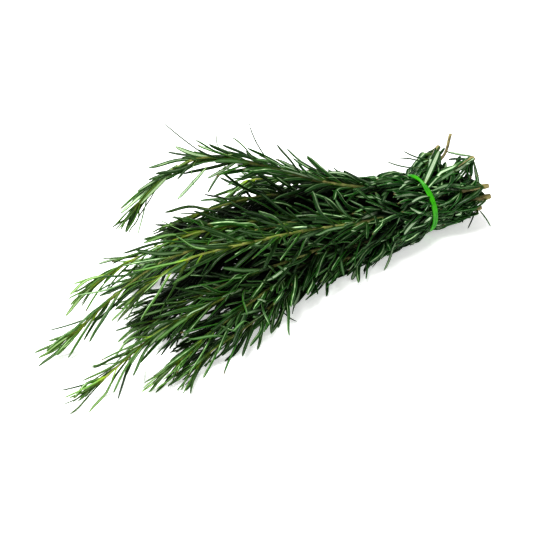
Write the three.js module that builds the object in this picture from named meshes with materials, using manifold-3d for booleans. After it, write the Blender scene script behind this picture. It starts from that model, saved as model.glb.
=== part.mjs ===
// A bunch of fresh rosemary: eighteen cut sprigs, held together by one rubber band, lying on a surface.
//
// Lengths are millimetres. The bunch is laid out in its own design frame: X runs along the bunch with
// the cut ends at +X and the growing tips at -X, Z is up from the surface it lies on, and the band is
// near X = 0. The finished group is then moved so that its origin is the middle of its base.
//
// Each sprig grew as one piece, so it is one solid: a tapering stem with its leaves joined to it in
// opposite pairs, each pair a quarter turn round from the last.
import * as THREE from "three";
import { mergeVertices } from "three/addons/utils/BufferGeometryUtils.js";
import Module from "manifold-3d";

const wasm = await Module();
wasm.setup();

// ---------------------------------------------------------------- driving dimensions

const band = {
  height: 19, // of the band's centre above the surface
  radius: 17.4, // of its inner face
  width: 3.4, // along the bunch
  thickness: 1.1,
  lean: 0.06, // how far the top leans towards the tips, per millimetre of height
  shift: -3, // of its centre along the bunch
  steps: 32, // round the ring
};

// Where the stems pass the band: two rings of stems, by distance from the band's centre.
const outerRing = 13.2;
const innerRing = 6.4;

const stem = {
  cutRadius: 1.7, // at the cut end
  tipRadius: 0.5, // under the last leaves
  taper: 0.8,
  sides: 6,
  stepLength: 16, // between its cross sections
};

const leaf = {
  longest: 27,
  width: 2.3,
  thickness: 1.0,
  widestAt: 0.42, // share of its length
  neck: 0.3, // width where it leaves the stem, as a share of its full width
  open: 37, // degrees between leaf and stem, where nothing presses on it
  pressed: 8, // degrees, for a leaf under the band
  youngLength: 0.55, // of a full leaf, at the growing tip
  oldLength: 0.72, // of a full leaf, at the cut end
  youngOpen: 0.5, // of the full angle, at the growing tip
  gap: 0.3, // to every other sprig and to the band
  floorGap: 0.5, // under a leaf that lies on the surface
};

// Where the band stops pressing the leaves, from and to, along the bunch on each side of it.
const squeezed = {
  tipSide: [-4, 45],
  cutSide: [2, 24],
};

// How leaves differ from each other.
const variety = {
  turn: 20, // degrees round the stem, either way
  open: [0.75, 1.25],
  bend: [-14, 10], // degrees
  length: [0.85, 1.1],
  spacing: [0.9, 1.1],
};

const nodes = {
  first: 4, // from the cut end to the first pair of leaves
  spacing: 14, // between pairs along most of the stem
  tipSpacing: 7, // between pairs at the growing tip
  tipShare: 0.25, // share of the stem over which the spacing closes up
  leastToTip: 3, // from the last pair to the end of the stem
};

// Each sprig: the place of its stem in the band as a ring and a clock angle in degrees (0 is the far
// side, 90 the top), its cut end, the points that its stem goes through on the way to its tip, and how
// thick its stem is beside a full one.
const sprigs = [
  {
    name: "sprig_01_top_arch",
    tie: [outerRing, 105],
    cut: [[35, -5, 41]],
    route: [
      [-34, 2, 39], [-66, 7, 51], [-100, 13, 69], [-136, 19, 84],
      [-156, 24, 81], [-172, 27, 70], [-181, 29, 59],
    ],
    thickness: 0.95,
  },
  {
    name: "sprig_02_upper_far",
    tie: [outerRing, 70],
    cut: [[24, 15, 43]],
    route: [[-31, 8, 37], [-60, 15, 43], [-80, 24, 50], [-102, 32, 52], [-108, 33, 50]],
    thickness: 0.85,
  },
  {
    name: "sprig_03_far_stick",
    tie: [outerRing, 38],
    cut: [[24, 12, 36], [33.5, 16, 48.5]],
    route: [[-40, 19, 31], [-80, 25, 33], [-120, 32, 33], [-142, 35, 30]],
    thickness: 0.7,
  },
  {
    name: "sprig_04_far_side",
    tie: [outerRing, 5],
    cut: [[36, 19, 22]],
    route: [[-50, 20, 20], [-110, 28, 18], [-150, 34, 13], [-172, 36, 9]],
    thickness: 0.9,
  },
  {
    name: "sprig_05_far_low",
    tie: [outerRing, -28],
    cut: [[33, 17, 12]],
    route: [[-50, 22, 11], [-100, 35, 9], [-135, 44, 7], [-160, 49, 5]],
    thickness: 0.9,
  },
  {
    name: "sprig_06_under_far",
    tie: [outerRing, -62],
    cut: [[31, 7, 8]],
    route: [[-50, 8, 6], [-100, 10, 9], [-140, 13, 8], [-168, 14, 6], [-184, 11, 5]],
    thickness: 0.85,
  },
  {
    name: "sprig_07_under_near",
    tie: [outerRing, -95],
    cut: [[29, -3, 8]],
    route: [[-50, -6, 5], [-100, -14, 8], [-140, -21, 8], [-166, -27, 7], [-182, -31, 6]],
    thickness: 0.85,
  },
  {
    name: "sprig_08_near_low",
    tie: [outerRing, -128],
    cut: [[29, -12, 9]],
    route: [
      [-42, -12, 9], [-80, -17, 11], [-109, -25, 13], [-152, -43, 13],
      [-178, -48, 10], [-195, -53, 6],
    ],
    thickness: 0.9,
  },
  {
    name: "sprig_09_near_side",
    tie: [outerRing, -160],
    cut: [[33, -17, 13]],
    route: [
      [-43, -16, 17], [-78, -16, 19], [-104, -21, 21], [-148, -37, 22],
      [-177, -43, 17], [-194, -46, 11], [-207, -48, 8],
    ],
    thickness: 0.9,
  },
  {
    name: "sprig_10_near_front",
    tie: [outerRing, 167],
    cut: [[37, -20, 21]],
    route: [
      [-34, -14, 28], [-63, -17, 34], [-98, -18, 42], [-131, -17, 46],
      [-169, -12, 46], [-195, -8, 35], [-203, -7, 30],
    ],
    thickness: 1.12,
  },
  {
    name: "sprig_11_front_high",
    tie: [outerRing, 136],
    cut: [[35, -20, 29]],
    route: [
      [-42, -8, 30], [-90, -3, 38], [-131, -3, 43], [-178, -1, 42],
      [-207, 4, 28], [-231, 4, 14], [-240, 4, 11],
    ],
    thickness: 0.85,
  },
  {
    name: "sprig_12_middle_high",
    tie: [innerRing, 128],
    cut: [[31, -8, 31]],
    route: [
      [-38, -2, 28], [-85, 6, 36], [-126, 5, 44], [-160, 9, 46],
      [-190, 15, 38], [-208, 22, 27], [-214, 25, 22],
    ],
    thickness: 0.9,
  },
  {
    name: "sprig_13_middle_upper",
    tie: [innerRing, 77],
    cut: [[33, 4, 31]],
    route: [[-33, 5, 31], [-62, 13, 36], [-95, 21, 45], [-123, 22, 48], [-142, 25, 46], [-152, 27, 43]],
    thickness: 0.9,
  },
  {
    name: "sprig_14_middle_far",
    tie: [innerRing, 26],
    cut: [[35, 9, 24]],
    route: [[-35, 8, 25], [-64, 11, 30], [-101, 13, 38], [-135, 16, 41], [-150, 21, 41], [-160, 26, 38]],
    thickness: 0.85,
  },
  {
    name: "sprig_15_middle_core",
    tie: [innerRing, -26],
    cut: [[39, 9, 15]],
    route: [[-50, 7, 19], [-110, 7, 27], [-145, 4, 27], [-172, 0, 20], [-191, -3, 12]],
    thickness: 0.8,
  },
  {
    name: "sprig_16_core_low",
    tie: [innerRing, -77],
    cut: [[40, 1, 11]],
    route: [[-50, 0, 11], [-100, -4, 13], [-140, -6, 13], [-168, -11, 10], [-187, -16, 7]],
    thickness: 0.8,
  },
  {
    name: "sprig_17_long_near",
    tie: [innerRing, -128],
    cut: [[38, -6, 15]],
    route: [
      [-40, -7, 13], [-91, -10, 15], [-129, -19, 20], [-170, -32, 27],
      [-206, -35, 23], [-242, -40, 11], [-251, -41, 9],
    ],
    thickness: 0.95,
  },
  {
    name: "sprig_18_near_middle",
    tie: [innerRing, 180],
    cut: [[36, -12, 20]],
    route: [
      [-39, -11, 20], [-65, -13, 23], [-117, -22, 29], [-151, -21, 28],
      [-170, -17, 23], [-186, -13, 16], [-199, -11, 11],
    ],
    thickness: 0.85,
  },
];

// ---------------------------------------------------------------- colours

const rosemary = new THREE.MeshStandardMaterial({ color: 0x2f5a2b, roughness: 0.5, metalness: 0 });
const bandRubber = new THREE.MeshStandardMaterial({ color: 0x3fd016, roughness: 0.45, metalness: 0 });

// ---------------------------------------------------------------- helpers

const point = (xyz) => new THREE.Vector3(...xyz);
const radians = THREE.MathUtils.degToRad;
const mix = THREE.MathUtils.lerp;
const eased = THREE.MathUtils.smoothstep;

// A number from 0 to 1 that looks random and is the same on every run.
function chance(seed) {
  const v = Math.sin(seed * 127.1 + 311.7) * 43758.5453;
  return v - Math.floor(v);
}

// The closed skin over a row of rings. Each ring goes the same way round, and an end ring may be one point.
function skin(rings) {
  const corners = [];
  const triangle = (a, b, c) => corners.push(...a, ...b, ...c);
  for (let i = 0; i + 1 < rings.length; i++) {
    const [a, b] = [rings[i], rings[i + 1]];
    for (let k = 0; k < Math.max(a.length, b.length); k++) {
      const next = k + 1;
      if (a.length > 1) triangle(a[k], a[next % a.length], b[next % b.length]);
      if (b.length > 1) triangle(a[k % a.length], b[next % b.length], b[k]);
    }
  }
  const [first, last] = [rings[0], rings[rings.length - 1]];
  for (let k = 1; k + 1 < first.length; k++) triangle(first[0], first[k + 1], first[k]);
  for (let k = 1; k + 1 < last.length; k++) triangle(last[0], last[k], last[k + 1]);
  const geometry = new THREE.BufferGeometry();
  geometry.setAttribute("position", new THREE.Float32BufferAttribute(corners, 3));
  return geometry;
}

// A ring of points round a centre, in the plane of two axes whose lengths are its half sizes.
function ring(centre, across, up, sides, turn = 0, size = 1) {
  return Array.from({ length: sides }, (_, k) => {
    const angle = turn + (2 * Math.PI * k) / sides;
    const place = centre.clone().addScaledVector(across, size * Math.cos(angle));
    return place.addScaledVector(up, size * Math.sin(angle));
  });
}

function toSolid(geometry) {
  const merged = mergeVertices(geometry, 1e-4);
  return new wasm.Manifold(
    new wasm.Mesh({
      numProp: 3,
      vertProperties: merged.attributes.position.array,
      triVerts: new Uint32Array(merged.index.array),
    }),
  );
}

function toGeometry(solid) {
  const mesh = solid.getMesh();
  const geometry = new THREE.BufferGeometry();
  geometry.setAttribute("position", new THREE.BufferAttribute(mesh.vertProperties, 3));
  geometry.setIndex(new THREE.BufferAttribute(mesh.triVerts, 1));
  geometry.computeVertexNormals();
  return geometry;
}

const boxOf = (geometry) => {
  geometry.computeBoundingBox();
  return geometry.boundingBox;
};

// ---------------------------------------------------------------- the rubber band

function bandGeometry() {
  const hoops = [
    [band.radius, -band.width / 2],
    [band.radius, band.width / 2],
    [band.radius + band.thickness, band.width / 2],
    [band.radius + band.thickness, -band.width / 2],
  ];
  const corners = [];
  const at = (hoop, step) => {
    const [radius, x] = hoops[hoop % hoops.length];
    const angle = (2 * Math.PI * step) / band.steps;
    const rise = radius * Math.sin(angle);
    return [x + band.shift - band.lean * rise, radius * Math.cos(angle), band.height + rise];
  };
  for (let step = 0; step < band.steps; step++) {
    for (let hoop = 0; hoop < hoops.length; hoop++) {
      const [a, b] = [at(hoop, step), at(hoop + 1, step)];
      const [c, d] = [at(hoop + 1, step + 1), at(hoop, step + 1)];
      corners.push(...a, ...b, ...c, ...a, ...c, ...d);
    }
  }
  const geometry = new THREE.BufferGeometry();
  geometry.setAttribute("position", new THREE.Float32BufferAttribute(corners, 3));
  return geometry;
}

// ---------------------------------------------------------------- stems

function stemCurve({ tie: [distance, clock], cut, route }) {
  const angle = radians(clock);
  const rise = distance * Math.sin(angle);
  const inBand = [band.shift - band.lean * rise, distance * Math.cos(angle), band.height + rise];
  const through = [...cut.toReversed(), inBand, ...route].map(point);
  return new THREE.CatmullRomCurve3(through, false, "catmullrom", 0.5);
}

function stemRadius(share, thickness) {
  return mix(stem.cutRadius * thickness, stem.tipRadius, Math.pow(share, stem.taper));
}

// Two axes at right angles to a direction. The first is level.
function axesAcross(direction) {
  const level = new THREE.Vector3(0, 0, 1).cross(direction).normalize();
  return [level, direction.clone().cross(level)];
}

function stemGeometry(curve, steps, thickness) {
  const rings = [];
  for (let i = 0; i <= steps; i++) {
    const share = i / steps;
    const [level, up] = axesAcross(curve.getTangentAt(share));
    rings.push(ring(curve.getPointAt(share), level, up, stem.sides, 0, stemRadius(share, thickness)));
  }
  return skin(rings);
}

// A point on the straight axis between two of the stem's cross sections, where a leaf can be joined on.
function pointOnAxis(curve, steps, share) {
  const before = Math.floor(share * steps);
  const from = curve.getPointAt(before / steps);
  return from.lerp(curve.getPointAt((before + 1) / steps), share * steps - before);
}

// ---------------------------------------------------------------- leaves

// How far a leaf opens from its stem. The band presses the leaves that reach through it.
function openAngle(x, share) {
  const free = Math.max(eased(-x, ...squeezed.tipSide), eased(x, ...squeezed.cutSide));
  const atTip = mix(1, leaf.youngOpen, eased(share, 0.8, 1));
  return mix(leaf.pressed, leaf.open, free) * atTip;
}

function leafLength(share) {
  const young = mix(1, leaf.youngLength, eased(share, 0.82, 1));
  const old = mix(leaf.oldLength, 1, eased(share, 0, 0.3));
  return leaf.longest * young * old;
}

// The direction that lies at an angle from one axis towards another.
function between(from, towards, angle) {
  return from.clone().multiplyScalar(Math.cos(angle)).addScaledVector(towards, Math.sin(angle));
}

// The closed needle of one leaf: it leaves the stem's axis, bends once where it is widest, and ends in
// a point. The margin makes it thicker all round.
function leafGeometry({ base, along, out, open, bend, length }, margin) {
  const start = between(along, out, open);
  const end = between(along, out, open + bend);
  const middle = base.clone().addScaledVector(start, length * leaf.widestAt);
  const tip = middle.clone().addScaledVector(end, length * (1 - leaf.widestAt));
  middle.z = Math.max(middle.z, leaf.floorGap + leaf.thickness / 2);
  tip.z = Math.max(tip.z, leaf.floorGap);

  const across = start.clone().cross(out).normalize();
  const up = across.clone().cross(start).negate();
  across.multiplyScalar(leaf.width / 2 + margin);
  up.multiplyScalar(leaf.thickness / 2 + margin);
  const neck = ring(base, across, up, 3, Math.PI / 2, leaf.neck);
  const belly = ring(middle, across, up, 3, Math.PI / 2);
  return skin([neck, belly, [tip.addScaledVector(end, margin)]]);
}

// The places of every leaf on a sprig, pair after pair from the cut end to the tip.
function leafSites({ curve, length, steps }, seed) {
  const sites = [];
  let along = nodes.first;
  for (let pair = 0; along < length - nodes.leastToTip; pair++) {
    const share = along / length;
    const base = pointOnAxis(curve, steps, share);
    const direction = curve.getTangentAt(share);
    const [level, up] = axesAcross(direction);
    for (const side of [0, 1]) {
      const roll = seed * 1000 + pair * 10 + side;
      const turn = pair * 90 + side * 180 + mix(-variety.turn, variety.turn, chance(roll));
      const open = openAngle(base.x, share) * mix(...variety.open, chance(roll + 0.1));
      sites.push({
        base,
        along: direction,
        out: between(level, up, radians(turn)),
        open: radians(open),
        bend: radians(mix(...variety.bend, chance(roll + 0.2))),
        length: leafLength(share) * mix(...variety.length, chance(roll + 0.3)),
      });
    }
    const closeUp = eased(share, 1 - nodes.tipShare, 1);
    const uneven = mix(...variety.spacing, chance(seed * 77 + pair));
    along += mix(nodes.spacing, nodes.tipSpacing, closeUp) * uneven;
  }
  return sites;
}

// The same leaf, turned round its stem and opened a little differently, for one that would meet a
// neighbour.
function nudged(site, turn, open) {
  const out = site.out.clone().applyAxisAngle(site.along, radians(turn));
  return { ...site, out, open: site.open * open };
}

// Turns in degrees and shares of the open angle, in the order they are tried.
const tries = [[0, 1], [18, 1], [-18, 1], [0, 0.6], [34, 0.8], [-34, 0.8], [0, 0.3], [50, 0.4], [-50, 0.4]];

// ---------------------------------------------------------------- the bunch

const bandSolid = toSolid(bandGeometry());
const stems = sprigs.map((sprig) => {
  const curve = stemCurve(sprig);
  const length = curve.getLength();
  const steps = Math.ceil(length / stem.stepLength);
  const geometry = stemGeometry(curve, steps, sprig.thickness);
  return { curve, length, steps, solid: toSolid(geometry), box: boxOf(geometry) };
});

// A solid per leaf that is already placed, with the sprig it belongs to.
const placed = [];

function isFree(geometry, owner) {
  const fat = toSolid(geometry);
  const box = boxOf(geometry);
  const meets = (other) => other.box.intersectsBox(box) && !fat.intersect(other.solid).isEmpty();
  const free =
    fat.intersect(bandSolid).isEmpty() &&
    !stems.some((other, i) => i !== owner && meets(other)) &&
    !placed.some((other) => other.owner !== owner && meets(other));
  fat.delete();
  return free;
}

function growLeaves(owner) {
  const grown = [];
  for (const site of leafSites(stems[owner], owner + 1)) {
    const settled = tries
      .map(([turn, open]) => nudged(site, turn, open))
      .find((candidate) => isFree(leafGeometry(candidate, leaf.gap), owner));
    if (!settled) continue; // a real leaf there is rubbed off in the tying
    const geometry = leafGeometry(settled, 0);
    const solid = toSolid(geometry);
    grown.push(solid);
    placed.push({ owner, solid, box: boxOf(geometry) });
  }
  return grown;
}

const group = new THREE.Group();

function addPiece(name, geometry, material) {
  const mesh = new THREE.Mesh(geometry, material);
  mesh.name = name;
  group.add(mesh);
}

sprigs.forEach((sprig, owner) => {
  const whole = growLeaves(owner).reduce((sum, solid) => sum.add(solid), stems[owner].solid);
  addPiece(sprig.name, toGeometry(whole), rosemary);
});
addPiece("rubber_band", toGeometry(bandSolid), bandRubber);

// The origin goes to the middle of the base.
const bounds = new THREE.Box3().setFromObject(group);
const middle = bounds.getCenter(new THREE.Vector3());
group.position.set(-middle.x, -middle.y, -bounds.min.z);

export default group;
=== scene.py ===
import bpy
import math
import random
import numpy as np
from mathutils import Matrix, Vector


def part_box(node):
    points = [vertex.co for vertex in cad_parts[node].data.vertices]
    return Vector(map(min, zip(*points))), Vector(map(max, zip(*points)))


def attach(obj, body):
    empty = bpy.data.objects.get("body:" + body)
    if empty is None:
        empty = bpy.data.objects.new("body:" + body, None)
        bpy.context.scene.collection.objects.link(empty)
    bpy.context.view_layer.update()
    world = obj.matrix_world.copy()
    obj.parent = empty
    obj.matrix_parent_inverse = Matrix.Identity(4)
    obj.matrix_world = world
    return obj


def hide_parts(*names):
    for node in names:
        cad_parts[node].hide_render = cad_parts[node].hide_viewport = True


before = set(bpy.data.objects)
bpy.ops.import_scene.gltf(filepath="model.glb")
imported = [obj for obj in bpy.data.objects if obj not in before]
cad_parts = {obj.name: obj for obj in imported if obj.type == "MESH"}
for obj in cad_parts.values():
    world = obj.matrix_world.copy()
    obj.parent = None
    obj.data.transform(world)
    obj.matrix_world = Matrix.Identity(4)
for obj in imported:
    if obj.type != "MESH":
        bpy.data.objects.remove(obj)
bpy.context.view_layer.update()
print("frame loaded:", len(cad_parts), "solids")

mm = 0.001

# The bunch is laid out in millimetres: X from the tips to the cut ends, Z up, the band near X = 0.
bunch = {
    "bandHeight": 19.0,
    "bandShift": -3.0,
    "bandLean": 0.06,  # how far the top of the band leans to the tips, per millimetre of height
    "outerRing": 13.2,  # distance of the outer stems from the band's centre
    "innerRing": 6.4,
    "cutRadius": 1.7,
    "tipRadius": 0.5,
    "taper": 0.8,
}
bandLow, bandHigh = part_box("rubber_band")
bandMiddle = (bandLow + bandHigh) / 2
origin = np.array(bandMiddle) - np.array((bunch["bandShift"], 0, bunch["bandHeight"])) * mm

outer, inner = bunch["outerRing"], bunch["innerRing"]

# CAD node, place in the band (ring, clock angle), cut end, route to the tip,
# then how young it looks, how thick its stem is, how far its leaves spread, how many short leaves it has
sprigs = [
    ("sprig_01_top_arch", (outer, 105), [(35, -5, 41)],
     [(-34, 2, 39), (-66, 7, 51), (-100, 13, 69), (-136, 19, 84), (-156, 24, 81), (-172, 27, 70),
      (-181, 29, 59)],
     0.45, 0.95, 0.55, 0.7),
    ("sprig_02_upper_far", (outer, 70), [(24, 15, 43)],
     [(-31, 8, 37), (-60, 15, 43), (-80, 24, 50), (-102, 32, 52), (-108, 33, 50)],
     0.3, 0.85, 0.9, 0.6),
    ("sprig_03_far_stick", (outer, 38), [(24, 12, 36), (33.5, 16, 48.5)],
     [(-40, 19, 31), (-80, 25, 33), (-120, 32, 33), (-142, 35, 30)],
     0.1, 0.58, 1.0, 1.0),
    ("sprig_04_far_side", (outer, 5), [(36, 19, 22)],
     [(-50, 20, 20), (-110, 28, 18), (-150, 34, 13), (-172, 36, 9)],
     0.2, 0.85, 1.0, 1.0),
    ("sprig_05_far_low", (outer, -28), [(33, 17, 12)],
     [(-50, 22, 11), (-100, 35, 9), (-135, 44, 7), (-160, 49, 5)],
     0.2, 0.85, 1.0, 1.0),
    ("sprig_06_under_far", (outer, -62), [(31, 7, 8)],
     [(-50, 8, 6), (-100, 10, 9), (-140, 13, 8), (-168, 14, 6), (-184, 11, 5)],
     0.2, 0.85, 1.0, 1.0),
    ("sprig_07_under_near", (outer, -95), [(29, -3, 8)],
     [(-50, -6, 5), (-100, -14, 8), (-140, -21, 8), (-166, -27, 7), (-182, -31, 6)],
     0.2, 0.85, 1.0, 1.0),
    ("sprig_08_near_low", (outer, -128), [(29, -12, 9)],
     [(-42, -12, 9), (-80, -17, 11), (-109, -25, 13), (-152, -43, 13), (-178, -48, 10), (-195, -53, 6)],
     0.25, 0.85, 0.9, 0.8),
    ("sprig_09_near_side", (outer, -160), [(33, -17, 13)],
     [(-43, -16, 17), (-78, -16, 19), (-104, -21, 21), (-148, -37, 22), (-177, -43, 17),
      (-194, -46, 11), (-207, -48, 8)],
     0.3, 0.85, 0.9, 0.7),
    ("sprig_10_near_front", (outer, 167), [(37, -20, 21)],
     [(-34, -14, 28), (-63, -17, 34), (-98, -18, 42), (-131, -17, 46), (-169, -12, 46),
      (-195, -8, 35), (-203, -7, 30)],
     0.55, 0.95, 1.0, 0.4),
    ("sprig_11_front_high", (outer, 136), [(35, -20, 29)],
     [(-42, -8, 30), (-90, -3, 38), (-131, -3, 43), (-178, -1, 42), (-207, 4, 28), (-231, 4, 14),
      (-240, 4, 11)],
     0.35, 0.85, 0.85, 0.4),
    ("sprig_12_middle_high", (inner, 128), [(31, -8, 31)],
     [(-38, -2, 28), (-85, 6, 36), (-126, 5, 44), (-160, 9, 46), (-190, 15, 38), (-208, 22, 27),
      (-214, 25, 22)],
     0.7, 0.85, 0.85, 0.35),
    ("sprig_13_middle_upper", (inner, 77), [(33, 4, 31)],
     [(-33, 5, 31), (-62, 13, 36), (-95, 21, 45), (-123, 22, 48), (-142, 25, 46), (-152, 27, 43)],
     0.5, 0.85, 1.0, 0.5),
    ("sprig_14_middle_far", (inner, 26), [(35, 9, 24)],
     [(-35, 8, 25), (-64, 11, 30), (-101, 13, 38), (-135, 16, 41), (-150, 21, 41), (-160, 26, 38)],
     0.3, 0.85, 1.0, 0.7),
    ("sprig_15_middle_core", (inner, -26), [(39, 9, 15)],
     [(-50, 7, 19), (-110, 7, 27), (-145, 4, 27), (-172, 0, 20), (-191, -3, 12)],
     0.1, 0.8, 1.0, 1.0),
    ("sprig_16_core_low", (inner, -77), [(40, 1, 11)],
     [(-50, 0, 11), (-100, -4, 13), (-140, -6, 13), (-168, -11, 10), (-187, -16, 7)],
     0.1, 0.8, 1.0, 1.0),
    ("sprig_17_long_near", (inner, -128), [(38, -6, 15)],
     [(-40, -7, 13), (-91, -10, 15), (-129, -19, 20), (-170, -32, 27), (-206, -35, 23),
      (-242, -40, 11), (-251, -41, 9)],
     0.55, 0.9, 0.85, 0.45),
    ("sprig_18_near_middle", (inner, 180), [(36, -12, 20)],
     [(-39, -11, 20), (-65, -13, 23), (-117, -22, 29), (-151, -21, 28), (-170, -17, 23),
      (-186, -13, 16), (-199, -11, 11)],
     0.35, 0.85, 1.0, 0.6),
]


def mix(a, b, share):
    return a + (b - a) * share


def eased(x, low, high):
    t = min(1.0, max(0.0, (x - low) / (high - low)))
    return t * t * (3 - 2 * t)


def unit(v):
    return v / np.linalg.norm(v)


def makeMesh(name, points, faces, material, node):
    mesh = bpy.data.meshes.new(name)
    mesh.from_pydata((np.asarray(points) * mm + origin).tolist(), [], faces)
    mesh.polygons.foreach_set("use_smooth", [True] * len(mesh.polygons))
    mesh.materials.append(material)
    piece = bpy.data.objects.new(name, mesh)
    bpy.context.scene.collection.objects.link(piece)
    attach(piece, "root")
    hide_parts(node)
    return piece


def addVectors(mesh, name, values):
    layer = mesh.attributes.new(name, "FLOAT_VECTOR", "POINT")
    layer.data.foreach_set("vector", np.asarray(values, dtype=np.float32).ravel())


def addNumbers(mesh, name, values):
    layer = mesh.attributes.new(name, "FLOAT", "POINT")
    layer.data.foreach_set("value", np.asarray(values, dtype=np.float32))


view = {
    "azimuth": -33.754,
    "elevation": 33.0,
    "distance": 1100.0,
    "target": (-88.97, 33.71, -12.96),
    "lens": 123.83,
}


def buildCamera():
    a, e = math.radians(view["azimuth"]), math.radians(view["elevation"])
    back = np.array((math.sin(a) * math.cos(e), -math.cos(a) * math.cos(e), math.sin(e)))
    right = np.array((math.cos(a), math.sin(a), 0.0))
    up = np.cross(back, right)
    place = (np.array(view["target"]) + back * view["distance"]) * mm + origin
    data = bpy.data.cameras.new("camera")
    data.lens = view["lens"]
    data.sensor_width = 36
    data.clip_start, data.clip_end = 0.05, 20
    camera = bpy.data.objects.new("camera", data)
    turn = Matrix((right, up, back)).transposed()
    camera.matrix_world = Matrix.Translation(Vector(place)) @ turn.to_4x4()
    bpy.context.scene.collection.objects.link(camera)
    bpy.context.scene.camera = camera


studio = {
    "roomLight": 0.42,
    "floorColour": (0.93, 0.93, 0.93, 1),
    "floorRoughness": 0.9,
    "floorGlow": 0.4,  # keeps the shadows on the floor pale
    "floorSize": 14.0,
    # name, place, size in metres, power in watts
    "lamps": [
        ("overheadSoftbox", (-0.3, 0.05, 1.0), 0.6, 15.0),
        ("sideSoftbox", (-0.6, -0.75, 0.6), 0.4, 2.0),
    ],
}


def buildStudio():
    half = studio["floorSize"] / 2
    mesh = bpy.data.meshes.new("floor")
    corners = [(-half, -half, 0), (half, -half, 0), (half, half, 0), (-half, half, 0)]
    mesh.from_pydata(corners, [], [(0, 1, 2, 3)])
    material, _, shader = newMaterial("palePaper")
    shader.inputs["Base Color"].default_value = studio["floorColour"]
    shader.inputs["Roughness"].default_value = studio["floorRoughness"]
    shader.inputs["Emission Color"].default_value = studio["floorColour"]
    shader.inputs["Emission Strength"].default_value = studio["floorGlow"]
    mesh.materials.append(material)
    floor = bpy.data.objects.new("floor", mesh)
    bpy.context.scene.collection.objects.link(floor)
    for name, place, size, power in studio["lamps"]:
        data = bpy.data.lights.new(name, "AREA")
        data.size = size
        data.energy = power
        lamp = bpy.data.objects.new(name, data)
        lamp.location = place
        lamp.rotation_euler = (-Vector(place)).to_track_quat("-Z", "Y").to_euler()
        lamp.visible_camera = False
        bpy.context.scene.collection.objects.link(lamp)
    world = bpy.data.worlds.new("studio")
    world.use_nodes = True
    background = world.node_tree.nodes["Background"]
    background.inputs["Color"].default_value = (1, 1, 1, 1)
    background.inputs["Strength"].default_value = studio["roomLight"]
    bpy.context.scene.world = world
    bpy.context.scene.view_settings.view_transform = "Standard"
    bpy.context.scene.view_settings.look = "Medium High Contrast"


class NodeDesk:
    # short calls for laying out one node tree
    def __init__(self, tree):
        self.tree = tree

    def add(self, kind, inputs=None, **settings):
        node = self.tree.nodes.new(kind)
        for key, value in settings.items():
            setattr(node, key, value)
        for key, value in (inputs or {}).items():
            if isinstance(value, bpy.types.NodeSocket):
                self.tree.links.new(value, node.inputs[key])
            else:
                node.inputs[key].default_value = value
        return node

    def math(self, operation, *values, clamp=False):
        node = self.add("ShaderNodeMath", dict(enumerate(values)), operation=operation, use_clamp=clamp)
        return node.outputs[0]

    def blend(self, share, a, b, mode="MIX"):
        node = self.add("ShaderNodeMix", data_type="RGBA", blend_type=mode)
        for socket, value in ((node.inputs[0], share), (node.inputs[6], a), (node.inputs[7], b)):
            if isinstance(value, bpy.types.NodeSocket):
                self.tree.links.new(value, socket)
            else:
                socket.default_value = value
        return node.outputs[2]

    def ramp(self, value, low, high, a=0.0, b=1.0):
        inputs = {0: value, 1: low, 2: high, 3: a, 4: b}
        return self.add("ShaderNodeMapRange", inputs, interpolation_type="SMOOTHSTEP").outputs[0]

    def noise(self, scale, detail=2.0, vector=None):
        inputs = {"Scale": scale, "Detail": detail}
        if vector is not None:
            inputs["Vector"] = vector
        return self.add("ShaderNodeTexNoise", inputs).outputs["Fac"]

    def grey(self, value):
        return self.add("ShaderNodeCombineColor", {0: value, 1: value, 2: value}).outputs[0]

    def bump(self, strength, distance, height):
        inputs = {"Strength": strength, "Distance": distance, "Height": height}
        return self.add("ShaderNodeBump", inputs).outputs[0]

    def parts(self, attribute):
        node = self.add("ShaderNodeAttribute", attribute_name=attribute)
        return self.add("ShaderNodeSeparateXYZ", {0: node.outputs["Vector"]}).outputs

    def objectSpace(self):
        return self.add("ShaderNodeTexCoord").outputs["Object"]


def newMaterial(name):
    material = bpy.data.materials.new(name)
    material.use_nodes = True
    desk = NodeDesk(material.node_tree)
    return material, desk, material.node_tree.nodes["Principled BSDF"]


buildCamera()
buildStudio()
print("camera, floor and lights set")


def newGroup(name, given, made):
    tree = bpy.data.node_groups.new(name, "ShaderNodeTree")
    for label, kind in given.items():
        tree.interface.new_socket(label, in_out="INPUT", socket_type="NodeSocket" + kind)
    for label, kind in made.items():
        tree.interface.new_socket(label, in_out="OUTPUT", socket_type="NodeSocket" + kind)
    return NodeDesk(tree), tree.nodes.new("NodeGroupInput").outputs, tree.nodes.new("NodeGroupOutput").inputs


groupLook = {
    "patchEdges": (0.32, 0.68),
    "grainEdges": (0.28, 0.72),
    "shadeEdges": (0.14, 0.56),  # the depth where the shade begins, and where it is full
}


def mottleGroup():
    # uneven patches and a fine grain, for anything that grew or was moulded
    takes = {"Place": "Vector", "Patch Scale": "Float", "Grain Scale": "Float"}
    desk, given, made = newGroup("mottle", takes, {"Patches": "Float", "Grain": "Float"})
    patches = desk.noise(given["Patch Scale"], 2.0, given["Place"])
    grain = desk.noise(given["Grain Scale"], 3.0, given["Place"])
    desk.tree.links.new(desk.ramp(patches, *groupLook["patchEdges"]), made["Patches"])
    desk.tree.links.new(desk.ramp(grain, *groupLook["grainEdges"]), made["Grain"])
    return desk.tree


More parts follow.
